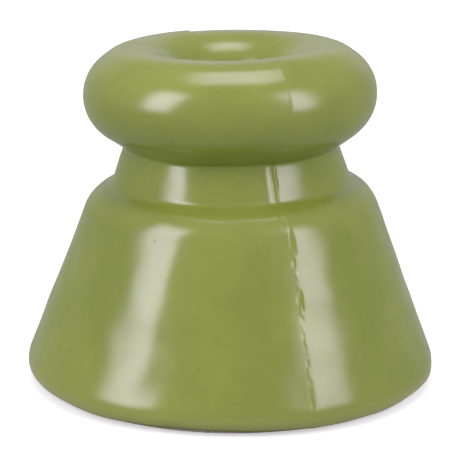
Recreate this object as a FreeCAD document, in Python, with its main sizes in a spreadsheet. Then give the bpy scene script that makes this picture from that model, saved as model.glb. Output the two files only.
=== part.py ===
import FreeCAD, Part
import math
import os
import Sketcher
from FreeCAD import Rotation, Vector

# Fence insulator: a one-piece glazed porcelain knob. A conical skirt stands on the post,
# a groove under the ring-shaped head takes the wire, and a bore down the middle takes the
# screw. Millimetres, +Z up, origin at the middle of the foot.

os.makedirs("parts", exist_ok=True)
doc = FreeCAD.newDocument("fence_insulator")

# --- driving dimensions -------------------------------------------------------------
dims = doc.addObject("Spreadsheet::Sheet", "dims")
dims.Label = "dims"

DIMENSIONS = [
    # glaze skin, and the bare ring it leaves at the foot
    ("glaze_thickness", 0.35),
    ("glaze_edge_height", 0.40),
    ("foot_outer_radius", 18.30),
    ("foot_ring_height", 1.60),
    # hollow under the skirt
    ("recess_radius", 14.60),
    ("recess_depth", 2.90),
    ("recess_corner_round", 0.90),
    # screw bore
    ("bore_radius", 2.75),
    ("bore_foot_round", 0.60),
    ("bore_mouth_round", 2.00),
    ("bore_mouth_height", 26.62),
    # conical skirt
    ("skirt_edge_radius", 20.02),
    ("skirt_edge_round", 1.20),
    ("skirt_bend_radius", 19.96),
    ("skirt_bend_height", 2.20),
    ("skirt_bend_round", 3.00),
    # shoulder over the skirt
    ("shoulder_radius", 13.80),
    ("shoulder_height", 18.60),
    ("shoulder_round", 3.80),
    # wire groove
    ("groove_foot_radius", 11.56),
    ("groove_foot_height", 19.70),
    ("groove_foot_round", 0.85),
    ("groove_top_radius", 10.42),
    ("groove_top_height", 23.33),
    ("groove_top_round", 0.35),
    # ring-shaped head
    ("head_radius", 17.30),
    ("head_height", 28.20),
    ("head_round", 4.37),
    ("crown_radius", 10.95),
    ("crown_height", 32.86),
    ("crown_round", 3.40),
    # lip where the head rolls over into the funnel above the bore
    ("lip_radius", 6.10),
    ("lip_height", 32.92),
    ("lip_round", 5.00),
]
for row, (alias, value) in enumerate(DIMENSIONS, start=1):
    dims.set("A%d" % row, alias)
    dims.set("B%d" % row, str(value))
    dims.setAlias("B%d" % row, alias)
doc.recompute()

# Corners of the glazed half section, from the bore's foot out under the skirt, up the
# outside and back down the funnel. Each gives its radius, height and rounding, and
# says whether the clay stands out there (1) or turns in (-1).
FINISHED = [
    ("bore_radius", "recess_depth", "bore_foot_round", 1),
    ("recess_radius", "recess_depth", "recess_corner_round", -1),
    ("recess_radius", "glaze_edge_height", None, 1),
    ("skirt_edge_radius", "glaze_edge_height", "skirt_edge_round", 1),
    ("skirt_bend_radius", "skirt_bend_height", "skirt_bend_round", 1),
    ("shoulder_radius", "shoulder_height", "shoulder_round", 1),
    ("groove_foot_radius", "groove_foot_height", "groove_foot_round", -1),
    ("groove_top_radius", "groove_top_height", "groove_top_round", -1),
    ("head_radius", "head_height", "head_round", 1),
    ("crown_radius", "crown_height", "crown_round", 1),
    ("lip_radius", "lip_height", "lip_round", 1),
    ("bore_radius", "bore_mouth_height", "bore_mouth_round", 1),
]
count = len(FINISHED)

# The fired clay lies one glaze thickness inside that outline. Each side gives its
# outward direction, and each corner moves in along its two sides' directions.
for index in range(count):
    here = FINISHED[index]
    there = FINISHED[(index + 1) % count]
    run = "(%s - %s)" % (there[0], here[0])
    rise = "(%s - %s)" % (there[1], here[1])
    row = index + 1
    dims.set("D%d" % row, "=sqrt(%s^2 + %s^2)" % (run, rise))
    dims.set("E%d" % row, "=%s / D%d" % (rise, row))
    dims.set("F%d" % row, "=-%s / D%d" % (run, row))
BISCUIT = []
for index in range(count):
    radius, height, rounding, turn = FINISHED[index]
    row = index + 1
    last = count if index == 0 else index
    dims.set("G%d" % row, "=glaze_thickness / (1 + E%d * E%d + F%d * F%d)" % (
        last, row, last, row))
    dims.set("H%d" % row, "=%s - G%d * (E%d + E%d)" % (radius, row, last, row))
    dims.set("I%d" % row, "=%s - G%d * (F%d + F%d)" % (height, row, last, row))
    dims.setAlias("H%d" % row, "biscuit_radius_%d" % row)
    dims.setAlias("I%d" % row, "biscuit_height_%d" % row)
    biscuit_round = None
    if rounding is not None:
        sign = "-" if turn == 1 else "+"
        dims.set("J%d" % row, "=%s %s glaze_thickness" % (rounding, sign))
        biscuit_round = "biscuit_round_%d" % row
        dims.setAlias("J%d" % row, biscuit_round)
    BISCUIT.append(("biscuit_radius_%d" % row, "biscuit_height_%d" % row, biscuit_round, turn))
doc.recompute()

# --- half sections --------------------------------------------------------------------
START, END = 1, 2


def arc_on_corner(before, corner, after, radius):
    """Start, middle and end of the arc that rounds one corner."""
    back = (before - corner).normalize()
    ahead = (after - corner).normalize()
    half = back.getAngle(ahead) / 2.0
    reach = radius / math.tan(half)
    start = corner + back * reach
    end = corner + ahead * reach
    bisector = (back + ahead).normalize()
    centre = corner + bisector * (radius / math.sin(half))
    return start, centre - bisector * radius, end


def bind(sketch, constraint, name, alias):
    """Add a constraint and tie its value to the sheet."""
    rule = sketch.addConstraint(constraint)
    sketch.renameConstraint(rule, name)
    sketch.setExpression("Constraints." + name, "dims." + alias)


def half_section(name, corners):
    """A closed outline of straight sides and rounded corners, held by the sheet."""
    sketch = doc.addObject("Sketcher::SketchObject", name)
    sketch.Label = name
    sketch.Placement.Rotation = Rotation(Vector(1, 0, 0), 90)
    points = [Vector(dims.get(radius), dims.get(height), 0) for radius, height, _, _ in corners]

    arcs = []
    starts = []
    ends = []
    for index, point in enumerate(points):
        rounding = corners[index][2]
        if rounding is None:
            arcs.append(None)
            starts.append(point)
            ends.append(point)
            continue
        start, middle, end = arc_on_corner(
            points[index - 1], point, points[(index + 1) % count], dims.get(rounding))
        arcs.append(sketch.addGeometry(Part.Arc(start, middle, end), False))
        starts.append(start)
        ends.append(end)
    lines = []
    for index in range(count):
        side = Part.LineSegment(ends[index], starts[(index + 1) % count])
        lines.append(sketch.addGeometry(side, False))

    for index, point in enumerate(points):
        radius, height, rounding, _ = corners[index]
        line_in = lines[index - 1]
        line_out = lines[index]
        if rounding is None:
            sketch.addConstraint(
                Sketcher.Constraint("Coincident", line_in, END, line_out, START))
            held = line_out
        else:
            arc = arcs[index]
            near, far = START, END
            if sketch.getPoint(arc, START).distanceToPoint(starts[index]) > 1e-6:
                near, far = END, START
            sketch.addConstraint(Sketcher.Constraint("Tangent", line_in, END, arc, near))
            sketch.addConstraint(Sketcher.Constraint("Tangent", arc, far, line_out, START))
            bind(sketch, Sketcher.Constraint("Radius", arc, dims.get(rounding)),
                 "round_%d" % index, rounding)
            held = sketch.addGeometry(Part.Point(point), True)
            sketch.addConstraint(
                Sketcher.Constraint("PointOnObject", held, START, line_in))
            sketch.addConstraint(
                Sketcher.Constraint("PointOnObject", held, START, line_out))
        bind(sketch, Sketcher.Constraint("DistanceX", -1, START, held, START, point.x),
             "radius_%d" % index, radius)
        bind(sketch, Sketcher.Constraint("DistanceY", -1, START, held, START, point.y),
             "height_%d" % index, height)
    doc.recompute()
    if not sketch.FullyConstrained:
        raise RuntimeError("outline is not fully held: " + name)
    return sketch


def turned(name, profile):
    """A solid of revolution about the knob's axis."""
    solid = doc.addObject("Part::Revolution", name)
    solid.Label = name
    solid.Source = profile
    solid.Axis = Vector(0, 0, 1)
    solid.Base = Vector(0, 0, 0)
    solid.Angle = 360.0
    solid.Solid = True
    return solid


finished_form = turned("finished_form", half_section("finished_outline", FINISHED))
biscuit_form = turned("biscuit_form", half_section("biscuit_outline", BISCUIT))

# --- the fired clay body ----------------------------------------------------------------
# The knob stands on a bare ring: the glaze is wiped back from it before firing.
ring_outer = doc.addObject("Part::Cylinder", "ring_outer")
ring_outer.setExpression("Radius", "dims.foot_outer_radius")
ring_outer.setExpression("Height", "dims.foot_ring_height")
ring_inner = doc.addObject("Part::Cylinder", "ring_inner")
ring_inner.setExpression("Radius", "dims.recess_radius + dims.glaze_thickness")
ring_inner.setExpression("Height", "dims.foot_ring_height")
foot_ring = doc.addObject("Part::Cut", "foot_ring")
foot_ring.Label = "foot_ring"
foot_ring.Base = ring_outer
foot_ring.Tool = ring_inner

porcelain_body = doc.addObject("Part::MultiFuse", "porcelain_body")
porcelain_body.Label = "porcelain_body"
porcelain_body.Shapes = [biscuit_form, foot_ring]
porcelain_body.Refine = True
porcelain_body.Placement.Base = Vector(0, 0, 0)

# --- the green glaze skin ---------------------------------------------------------------
glaze_coat = doc.addObject("Part::Cut", "glaze_coat")
glaze_coat.Label = "glaze_coat"
glaze_coat.Base = finished_form
glaze_coat.Tool = porcelain_body
glaze_coat.Refine = True
glaze_coat.Placement.Base = Vector(0, 0, 0)
doc.recompute()

# --- checks and export --------------------------------------------------------------------
for item in doc.Objects:
    if "Invalid" in item.State or "Error" in item.State:
        raise RuntimeError("feature did not compute: " + item.Label)

for node in (porcelain_body, glaze_coat):
    shape = node.Shape
    if shape.isNull() or not shape.isValid() or len(shape.Solids) != 1:
        raise RuntimeError("bad shape: " + node.Label)
    shape.exportStep("parts/%s.step" % node.Label)
    box = shape.BoundBox
    print("%s: volume %.1f, height %.2f to %.2f, width %.2f" % (
        node.Label, shape.Volume, box.ZMin, box.ZMax, box.XLength))
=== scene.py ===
import math
import random

import bpy
import numpy as np
from mathutils import Matrix, Vector, noise


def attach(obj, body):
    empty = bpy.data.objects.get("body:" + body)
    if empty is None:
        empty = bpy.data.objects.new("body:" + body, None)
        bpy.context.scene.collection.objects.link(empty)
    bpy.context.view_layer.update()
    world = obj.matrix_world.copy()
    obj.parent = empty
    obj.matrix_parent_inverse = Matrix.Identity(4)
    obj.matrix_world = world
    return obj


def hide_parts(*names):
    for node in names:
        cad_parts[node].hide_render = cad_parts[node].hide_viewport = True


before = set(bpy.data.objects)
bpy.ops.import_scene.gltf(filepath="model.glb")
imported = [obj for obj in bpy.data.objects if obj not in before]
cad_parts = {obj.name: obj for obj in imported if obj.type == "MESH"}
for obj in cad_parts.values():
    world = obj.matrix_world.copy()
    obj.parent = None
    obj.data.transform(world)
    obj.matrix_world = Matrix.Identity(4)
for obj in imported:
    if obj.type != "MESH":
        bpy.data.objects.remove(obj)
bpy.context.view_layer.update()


# ------------------------------------------------------------------ the clay body
# The knob itself: one piece of porcelain, pressed in a two-part mould and turned at the
# foot. Only its foot ring is left bare, because the piece stands on it in the kiln, so
# the ring stays matte and off-white, with fine grains and a little kiln dust.

MM = 0.001                      # one millimetre, in the scene's metres
BARE_CLAY = (0.62, 0.59, 0.52, 1)
CLAY_SHADE = (0.50, 0.46, 0.39, 1)
KILN_DUST = (0.30, 0.25, 0.19, 1)


class Shade:
    """A shader socket that can be added to and multiplied like a number."""

    def __init__(self, tree, socket=None):
        self.tree = tree
        self.socket = socket

    def node(self, kind, inputs, output=0, **settings):
        """Add any node: its settings, what goes into its sockets, the socket that comes out."""
        made = self.tree.nodes.new(kind)
        for name, value in settings.items():
            setattr(made, name, value)
        for name, value in inputs.items():
            if isinstance(value, Shade):
                self.tree.links.new(value.socket, made.inputs[name])
            else:
                made.inputs[name].default_value = value
        return Shade(self.tree, made.outputs[output])

    def sum(self, operation, first, second):
        return self.node("ShaderNodeMath", {0: first, 1: second}, operation=operation)

    def __add__(self, other):
        return self.sum("ADD", self, other)

    def __sub__(self, other):
        return self.sum("SUBTRACT", self, other)

    def __rsub__(self, other):
        return self.sum("SUBTRACT", other, self)

    def __mul__(self, other):
        return self.sum("MULTIPLY", self, other)

    def __truediv__(self, other):
        return self.sum("DIVIDE", self, other)

    def __rtruediv__(self, other):
        return self.sum("DIVIDE", other, self)

    __radd__ = __add__
    __rmul__ = __mul__

    def ramp(self, low, high):
        """0 below low, 1 above high, smooth between."""
        inputs = {"Value": self, "From Min": low, "From Max": high}
        return self.node("ShaderNodeMapRange", inputs, interpolation_type="SMOOTHSTEP")

    def tint(self, plain, full):
        """From the plain colour to the full one as this goes from 0 to 1."""
        inputs = {0: self, 6: plain, 7: full}
        return self.node("ShaderNodeMix", inputs, output=2, data_type="RGBA")


def new_material(name):
    """A material with its shader, and the object's own coordinates to build on."""
    material = bpy.data.materials.new(name)
    material.use_nodes = True
    tree = material.node_tree
    shader = tree.nodes["Principled BSDF"]
    place = Shade(tree).node("ShaderNodeTexCoord", {}, output="Object")
    return material, shader, place


def feed(shader, name, shade):
    """Let this shade drive one of the shader's sockets."""
    shade.tree.links.new(shade.socket, shader.inputs[name])


def grain(place, size_mm, detail=3.0):
    """Soft noise with features of about this many millimetres."""
    inputs = {"Vector": place, "Scale": 1 / (size_mm * MM), "Detail": detail}
    return place.node("ShaderNodeTexNoise", inputs)


def specks(place, gap_mm, radius, left_out):
    """1 inside small round specks this far apart; left_out is the share that is missing.

    The radius is a share of the gap.
    """
    cells = {"Vector": place, "Scale": 1 / (gap_mm * MM)}
    near = place.node("ShaderNodeTexVoronoi", cells, output="Distance")
    pick = place.node("ShaderNodeTexVoronoi", cells, output="Color")
    keep = pick.node("ShaderNodeSeparateColor", {"Color": pick}).ramp(left_out, left_out + 0.02)
    return (1 - near.ramp(radius * 0.6, radius)) * keep


clay, clay_shader, clay_place = new_material("bare_clay")
clay_grain = grain(clay_place, 0.5)
clay_cloud = grain(clay_place, 5.0)
dust = specks(clay_place, 0.9, 0.16, 0.7)
clay_colour = dust.tint(clay_cloud.ramp(0.35, 0.65).tint(BARE_CLAY, CLAY_SHADE), KILN_DUST)
feed(clay_shader, "Base Color", clay_colour)
feed(clay_shader, "Roughness", 0.70 + 0.2 * clay_grain)
clay_bump = {"Height": clay_grain + 0.4 * dust, "Strength": 0.35, "Distance": 0.05 * MM}
feed(clay_shader, "Normal", clay_place.node("ShaderNodeBump", clay_bump))

clay_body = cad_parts["porcelain_body"]
clay_body.data.materials.clear()
clay_body.data.materials.append(clay)


# ------------------------------------------------------------------ the green glaze
# An opaque olive glass skin a third of a millimetre thick, dipped on and fused to the
# clay. It follows what the mould left there: the seam with its burr and pits, one mould
# half standing slightly proud, soft waves all over and the head's slight lean.

THICKNESS = 0.35
FOOT_EDGE = 18.30               # where the glaze is wiped off, outside the bare foot ring
GLAZE_FOOT = 0.40               # how high above the table the glaze ends
BORE = 2.75                     # the screw bore's radius
RECESS = 14.60                  # the radius of the hollow under the foot
RECESS_ROOF = 2.90              # and its height
HALF_SECTION = [                # radius, height, rounding in mm, from the foot up and round
    (FOOT_EDGE, GLAZE_FOOT, 0.0),
    (20.02, GLAZE_FOOT, 1.20),  # the skirt's edge
    (19.96, 2.20, 3.00),        # where the skirt bends in
    (13.80, 18.60, 3.80),       # the shoulder
    (11.56, 19.70, 0.85),       # the groove's foot
    (10.42, 23.33, 0.35),       # the groove's top
    (17.30, 28.20, 4.37),       # the head's ring
    (10.95, 32.86, 3.40),       # its crown
    (6.10, 32.92, 5.00),        # the lip, rolling into the funnel
    (BORE, 26.62, 2.00),        # the bore's mouth
    (BORE, RECESS_ROOF, 0.60),  # the bore's foot
    (RECESS, RECESS_ROOF, 0.90),
    (RECESS, GLAZE_FOOT, 0.0),
]
STEP = 0.25                     # from point to point along the half section
WALL_STEP = 5 * STEP            # the same on the straight walls of the bore and the recess
FEWEST = 4                      # points round even the smallest corner

SEAM = math.radians(-66.5)      # where round the knob the mould's halves meet in front
SLIP = 0.14                     # how far one half stands proud there
SLIP_RISE = (-0.15, 0.22)       # where across the joint that step starts and ends
SWELL = 0.14                    # how far the other half swells towards the joint
SWELL_REACH = 1.6               # and over what distance it dies away
NEARER_SEAM = 1.5               # closer than this, in radians, is the front seam's side

BURR_OFFSET = 0.20              # the burr sits this far before the joint
BURR_WIDTH = 0.13
SKIRT_BURR = 0.022              # its height; there is none on the head
NECK_BURR = 0.10                # what the neck's has on top of that
RIDGE_OFFSET = 0.85             # a second, broken ridge beside it, on the neck only
RIDGE_WIDTH = 0.20
RIDGE = 0.10
PIT_TOP = 23.0                  # pits run up the joint from the foot to the groove's top

NECK_FOOT = (17.8, 19.0)        # heights over which the skirt turns into the neck
NECK_TOP = (23.3, 24.3)
HEAD_FOOT = (24.0, 25.0)
SKIRT_WAVE = 0.15               # how far the glaze's soft waves stand off
HEAD_WAVE = 0.035
NECK_WAVE = 0.17

LEAN = 0.021                    # how much the head leans, in radians
LEAN_RISE = (11.0, 19.0)        # heights over which the lean sets in
LEAN_PIVOT = 17.0


def rounded(corners):
    """Points along a half section, its corners rounded, about one step apart."""
    line = [np.array(corners[0][:2])]

    def run_to(point):
        start = line[-1]
        slack = 0.3
        in_bore = start[0] < BORE + slack
        in_recess = start[0] < RECESS + slack and max(start[1], point[1]) < RECESS_ROOF + slack
        spacing = WALL_STEP if in_bore or in_recess else STEP
        count = max(1, math.ceil(np.linalg.norm(point - start) / spacing))
        line.extend(start + (point - start) * i / count for i in range(1, count + 1))

    for i in range(1, len(corners) - 1):
        before, corner, after = (np.array(c[:2]) for c in corners[i - 1:i + 2])
        radius = corners[i][2]
        back = (before - corner) / np.linalg.norm(before - corner)
        ahead = (after - corner) / np.linalg.norm(after - corner)
        half = math.acos(float(back @ ahead)) / 2
        middle = (back + ahead) / np.linalg.norm(back + ahead)
        centre = corner + middle * radius / math.sin(half)
        first = corner + back * radius / math.tan(half)
        last = corner + ahead * radius / math.tan(half)
        run_to(first)
        start = math.atan2(*(first - centre)[::-1])
        turn = (math.atan2(*(last - centre)[::-1]) - start + math.pi) % (2 * math.pi) - math.pi
        count = max(FEWEST, math.ceil(abs(turn) * radius / STEP))
        for k in range(1, count + 1):
            angle = start + turn * k / count
            line.append(centre + radius * np.array((math.cos(angle), math.sin(angle))))
    run_to(np.array(corners[-1][:2]))
    return np.array(line)


def inset(line, depth):
    """The same line moved into the clay by a depth."""
    along = np.gradient(line, axis=0)
    along /= np.linalg.norm(along, axis=1)[:, None]
    moved = line + depth * np.column_stack((-along[:, 1], along[:, 0]))
    moved[0] = line[0] + (0, depth)
    moved[-1] = line[-1] + (depth, 0)
    return moved


def smooth(x, low, high):
    """0 below low, 1 above high, smooth between: the ramp above, for the mesh."""
    u = np.clip((x - low) / (high - low), 0, 1)
    return u * u * (3 - 2 * u)


def angle_from(angle, seam):
    """How far round from a seam, from minus half a turn to half a turn."""
    return (angle - seam + math.pi) % (2 * math.pi) - math.pi


def turns():
    """Angles round the knob, close together at its two seams."""
    fine, coarse = math.radians(0.30), math.radians(1.6)
    fine_steps = 16             # on each side of a seam
    near = fine_steps * fine
    gap = math.pi - 2 * near
    count = round(gap / coarse)
    angles = []
    for seam in (SEAM, SEAM + math.pi):
        angles += [seam - near + fine * i for i in range(2 * fine_steps + 1)]
        angles += [seam + near + gap * i / count for i in range(1, count)]
    return np.array(angles)


def ripple(x, y, z, size, seed):
    """Soft noise with features of about this many millimetres."""
    return noise.noise(Vector((x / size + seed, y / size, z / size)))


def wobble(height, size, seed):
    """The same noise going up the knob only: one value to a ring."""
    return np.array([[ripple(0, 0, h[0], size, seed)] for h in height])


def outer_side(radius, height):
    """1 on the outside, falling to 0 into the funnel, the bore and the foot."""
    top = smooth(radius, 6.5, 10.5)
    middle = 1.0 * (radius > 6)
    foot = smooth(radius, FOOT_EDGE, 19.4)
    return np.where(height > 25, top, np.where(height > 3, middle, foot))


def mould_step(radius, height, front, rear):
    """One mould half stands proud, and the other swells up to meet it in front."""
    in_front = np.abs(front) < NEARER_SEAM
    proud = np.where(in_front, smooth(radius * front, *SLIP_RISE),
                     1 - smooth(radius * rear, *SLIP_RISE))
    uneven = 1 + 0.5 * wobble(height, 2.6, 11.0)
    slip = SLIP * np.cos(front) * proud * uneven
    towards = np.where(front < 0, -radius * front, 0) / SWELL_REACH
    return slip + SWELL * np.exp(-towards) * (1 - proud) * in_front


def joint_marks(away, height, neck, head, dice):
    """The burr, the neck's broken ridge and the pits along one joint."""
    burr = (SKIRT_BURR * (1 - head) + NECK_BURR * neck)
    burr = burr * np.clip(0.55 + 0.9 * wobble(height, 0.8, 3.0), 0, 1.2)
    ridge = RIDGE * neck * np.clip(0.45 + 1.7 * wobble(height, 1.4, 9.0), 0, 1)
    marks = burr * np.exp(-(away / BURR_WIDTH) ** 2)
    marks = marks + ridge * np.exp(-((away + RIDGE_OFFSET) / RIDGE_WIDTH) ** 2)
    pit = 1.0
    while pit < PIT_TOP:
        pit += dice.uniform(0.5, 1.1)
        size, off = dice.uniform(0.12, 0.24), dice.uniform(-0.12, 0.12)
        spot = ((away - off) ** 2 + (height - pit) ** 2) / size ** 2
        marks = marks - dice.uniform(0.01, 0.06) * np.exp(-spot)
    return marks


def skin_relief(line, angles):
    """How far the fired glaze stands off the turned form, in mm, ring by ring."""
    radius, height = line[:, :1], line[:, 1:]
    x, y = radius * np.cos(angles), radius * np.sin(angles)
    z = np.broadcast_to(height, x.shape)
    front, rear = angle_from(angles, SEAM), angle_from(angles, SEAM + math.pi)
    neck = smooth(height, *NECK_FOOT) * (1 - smooth(height, *NECK_TOP))
    head = smooth(height, *HEAD_FOOT)

    dice = random.Random(7)
    relief = mould_step(radius, height, front, rear)
    for across in (front, rear):
        relief = relief + joint_marks(radius * across + BURR_OFFSET, height, neck, head, dice)

    wave = np.array([[ripple(*p, 8.0, 1.0) + 0.45 * ripple(*p, 3.2, 5.0) for p in row]
                     for row in np.dstack((x, y, z))])
    depth = SKIRT_WAVE + (HEAD_WAVE - SKIRT_WAVE) * head + (NECK_WAVE - SKIRT_WAVE) * neck
    return (relief + wave * depth) * outer_side(radius, height)


def leaned(points):
    """The knob's upper half pushed a little to one side, as it came from the mould."""
    share = LEAN * smooth(points[:, 2], *LEAN_RISE)
    across, up = points[:, 0].copy(), points[:, 2].copy()
    points[:, 2] += share * across
    points[:, 0] -= share * (up - LEAN_PIVOT)
    return points


def ring_points(line, angles, relief):
    """The half section swept round the knob, moved out by the relief."""
    along = np.gradient(line, axis=0)
    along /= np.linalg.norm(along, axis=1)[:, None]
    radius = line[:, :1] + relief * along[:, 1:]
    height = line[:, 1:] - relief * along[:, :1]
    rings = np.dstack((radius * np.cos(angles), radius * np.sin(angles), height))
    return leaned(rings.reshape(-1, 3))


def glaze_mesh():
    """A closed skin: the fired surface outside, a plainer one against the clay inside."""
    angles = turns()
    count = len(angles)
    outer = rounded(HALF_SECTION)
    under = inset(outer, THICKNESS)
    every = 5                   # the inner side needs fewer rings
    keep = sorted(set(range(0, len(outer), every)) | {0, len(outer) - 1})
    under = under[keep][::-1]
    points = np.vstack((ring_points(outer, angles, skin_relief(outer, angles)),
                        ring_points(under, angles, np.zeros((len(under), count)))))
    rows = len(outer) + len(under)
    faces = []
    for i in range(rows):
        for j in range(count):
            k, n = (j + 1) % count, (i + 1) % rows
            faces.append((i * count + j, i * count + k, n * count + k, n * count + j))
    mesh = bpy.data.meshes.new("glaze_skin")
    mesh.from_pydata([tuple(p) for p in points * MM], [], faces)
    mesh.polygons.foreach_set("use_smooth", [True] * len(mesh.polygons))

    # Glaze runs thin over a crest and pools in a hollow, so the colour follows the bend.
    spread = 9                  # points that each bend is averaged over
    along = np.unwrap(np.arctan2(*np.gradient(outer, axis=0).T[::-1]))
    crest = np.convolve(np.gradient(along), np.ones(spread) / spread, "same") / STEP
    crest = np.concatenate((crest, np.zeros(len(under))))
    thin = mesh.attributes.new("thin", "FLOAT", "POINT")
    thin.data.foreach_set("value", np.repeat(np.clip(crest, -1, 1), count))
    mesh.update()
    return mesh


def add_piece(name, data):
    piece = bpy.data.objects.new(name, data)
    bpy.context.scene.collection.objects.link(piece)
    return piece


OLIVE = (0.228, 0.286, 0.045, 1)
OLIVE_DEEP = (0.194, 0.250, 0.035, 1)
OLIVE_THIN = (0.280, 0.326, 0.078, 1)
IRON_SPECK = (0.060, 0.055, 0.020, 1)
PALE_SPECK = (0.42, 0.44, 0.22, 1)

glaze, glaze_shader, glaze_place = new_material("olive_glaze")
cloud = grain(glaze_place, 7.0)
mottle = grain(glaze_place, 0.7)
peel = grain(glaze_place, 1.6, detail=1.0)
thin = glaze_place.node("ShaderNodeAttribute", {}, output="Fac", attribute_name="thin")
iron = specks(glaze_place, 1.3, 0.065, 0.74)
pale = specks(glaze_place, 1.1, 0.070, 0.80)
pinholes = specks(glaze_place, 2.3, 0.040, 0.78)
pooled = (cloud + 0.25 * mottle).ramp(0.42, 0.80)
olive = pooled.tint(OLIVE, OLIVE_DEEP)
olive = thin.ramp(0.05, 0.8).tint(olive, OLIVE_THIN)
olive = (0.75 * iron).tint(olive, IRON_SPECK)
olive = (0.6 * pale).tint(olive, PALE_SPECK)
feed(glaze_shader, "Base Color", olive)
feed(glaze_shader, "Roughness", 0.17 + 0.08 * cloud + 0.3 * pinholes)
glaze_bump = {"Height": 0.5 * peel + 0.12 * mottle + 0.6 * pale - 1.2 * pinholes,
              "Strength": 0.35, "Distance": 0.02 * MM}
feed(glaze_shader, "Normal", glaze_place.node("ShaderNodeBump", glaze_bump))
glaze_shader.inputs["IOR"].default_value = 1.60

glaze_skin = add_piece("glaze_skin", glaze_mesh())
glaze_skin.data.materials.append(glaze)
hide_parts("glaze_coat")
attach(glaze_skin, "root")


# ------------------------------------------------------------------ the table
# A plain white table the knob stands on. It glows a little, as a light table does, so it
# stays white and keeps only a soft shadow at the foot. Its light doesn't reach the knob.

TABLE_HALF = 3                  # metres from the middle to each edge
TABLE_GREY = 0.80
TABLE_GLOW = 0.45


def flat_piece(name, corners):
    """One flat face through these corners."""
    mesh = bpy.data.meshes.new(name)
    mesh.from_pydata(corners, [], [tuple(range(len(corners)))])
    return add_piece(name, mesh)


def matte(name, grey):
    """A plain matte finish with a slight grain."""
    material, shader, place = new_material(name)
    feed(shader, "Roughness", 0.85 + 0.1 * grain(place, 4.0))
    shader.inputs["Base Color"].default_value = (grey, grey, grey, 1)
    return material, shader


corner_signs = [(-1, -1), (1, -1), (1, 1), (-1, 1)]
table = flat_piece("table", [(TABLE_HALF * i, TABLE_HALF * j, 0) for i, j in corner_signs])
table_white, table_shader = matte("table_white", TABLE_GREY)
table_shader.inputs["Specular IOR Level"].default_value = 0.0
table_shader.inputs["Emission Color"].default_value = (1, 1, 1, 1)
table_shader.inputs["Emission Strength"].default_value = TABLE_GLOW
table.data.materials.append(table_white)
table.visible_diffuse = False
table.visible_glossy = False


# ------------------------------------------------------------------ the plate
# A round grey plate just under the table and smaller than the knob's foot, so it is never
# seen. It closes the bore and the hollow foot from below, which the table can't do,
# because its light is kept off the knob.

PLATE_EDGE = 19.4 * MM
PLATE_DROP = 0.1 * MM
PLATE_SIDES = 96
PLATE_GREY = 0.60

plate_turns = [2 * math.pi * i / PLATE_SIDES for i in range(PLATE_SIDES)]
plate = flat_piece("plate", [(PLATE_EDGE * math.cos(a), PLATE_EDGE * math.sin(a), -PLATE_DROP)
                             for a in plate_turns])
plate_grey, plate_shader = matte("plate_grey", PLATE_GREY)
plate.data.materials.append(plate_grey)


# ------------------------------------------------------------------ the lights
# Four softboxes, left, right, overhead and a weak wide one behind, in a white room. The
# side boxes draw the two tall reflections on the skirt; the overhead one draws the band
# on the head.

LAMP_TINT = (1.0, 0.885, 1.09)
KNOB_MIDDLE = Vector((0, 0, 0.017))
ROOM_LIGHT = 0.447


def softbox(name, azimuth, elevation, distance, width, height, strength, fade):
    """A box lamp aimed at the knob; azimuth 0 is the camera's side, positive to the right.

    fade says how far from the hot spot the light is gone, across and up, as the square of a
    share of the lamp's width and height, and how far across from the middle the spot sits.
    """
    light = bpy.data.lights.new(name, "AREA")
    light.shape = "RECTANGLE"
    light.size = width
    light.size_y = height
    light.energy = strength
    light.color = LAMP_TINT
    light.use_nodes = True
    tree = light.node_tree
    glow = tree.nodes["Emission"]
    spread = Shade(tree).node("ShaderNodeNewGeometry", {}, output="Parametric")
    fade_across, fade_up, off_middle = fade
    across = spread.node("ShaderNodeSeparateXYZ", {0: spread}, output="X") - 0.5 - off_middle
    up = spread.node("ShaderNodeSeparateXYZ", {0: spread}, output="Y") - 0.5
    bright = ((1 - (across * across / fade_across).ramp(0.0, 1.0))
              * (1 - (up * up / fade_up).ramp(0.0, 1.0)))
    feed(glow, "Color", bright.tint((0.0, 0.0, 0.0, 1), (1, 1, 1, 1)))
    lamp = add_piece(name, light)
    a, e = math.radians(azimuth), math.radians(elevation)
    away = Vector((math.sin(a) * math.cos(e), -math.cos(a) * math.cos(e), math.sin(e)))
    lamp.location = KNOB_MIDDLE + away * distance
    lamp.rotation_mode = "QUATERNION"
    lamp.rotation_quaternion = (-away).to_track_quat("-Z", "Y")


softbox("left_softbox", -62, 27, 0.7, 0.38, 0.76, 6.3, fade=(0.42, 0.25, 0.2))
softbox("right_softbox", 59, 27, 0.7, 0.40, 0.76, 5.3, fade=(0.46, 0.25, -0.2))
softbox("top_softbox", 180, 87, 0.8, 0.74, 0.50, 5.2, fade=(0.20, 0.20, 0.0))
softbox("back_softbox", 180, 20, 1.2, 2.20, 0.80, 1.0, fade=(0.25, 0.25, 0.0))

world = bpy.data.worlds.new("studio")
bpy.context.scene.world = world
world.use_nodes = True
room = world.node_tree.nodes["Background"]
room.inputs["Color"].default_value = (1, 1, 1, 1)
room.inputs["Strength"].default_value = ROOM_LIGHT


# ------------------------------------------------------------------ the camera
# A long lens a short way off, looking slightly down at the knob and a hair off level.

LOOK_DOWN = 0.2578              # radians below level
LEVEL_OFF = 0.0085              # how far the camera is rolled
SIDEWAYS = 0.00053              # and turned aside

camera_data = bpy.data.cameras.new("camera")
camera_data.sensor_width = 36
camera_data.lens = 161.65
camera_data.clip_start = 0.01
camera = add_piece("camera", camera_data)
camera.location = (0, -0.19679, 0.066358)
aim = (Matrix.Rotation(SIDEWAYS, 3, "Z") @ Matrix.Rotation(math.pi / 2 - LOOK_DOWN, 3, "X")
       @ Matrix.Rotation(LEVEL_OFF, 3, "Z"))
camera.rotation_euler = aim.to_euler()
bpy.context.scene.camera = camera
bpy.context.scene.view_settings.view_transform = "Standard"
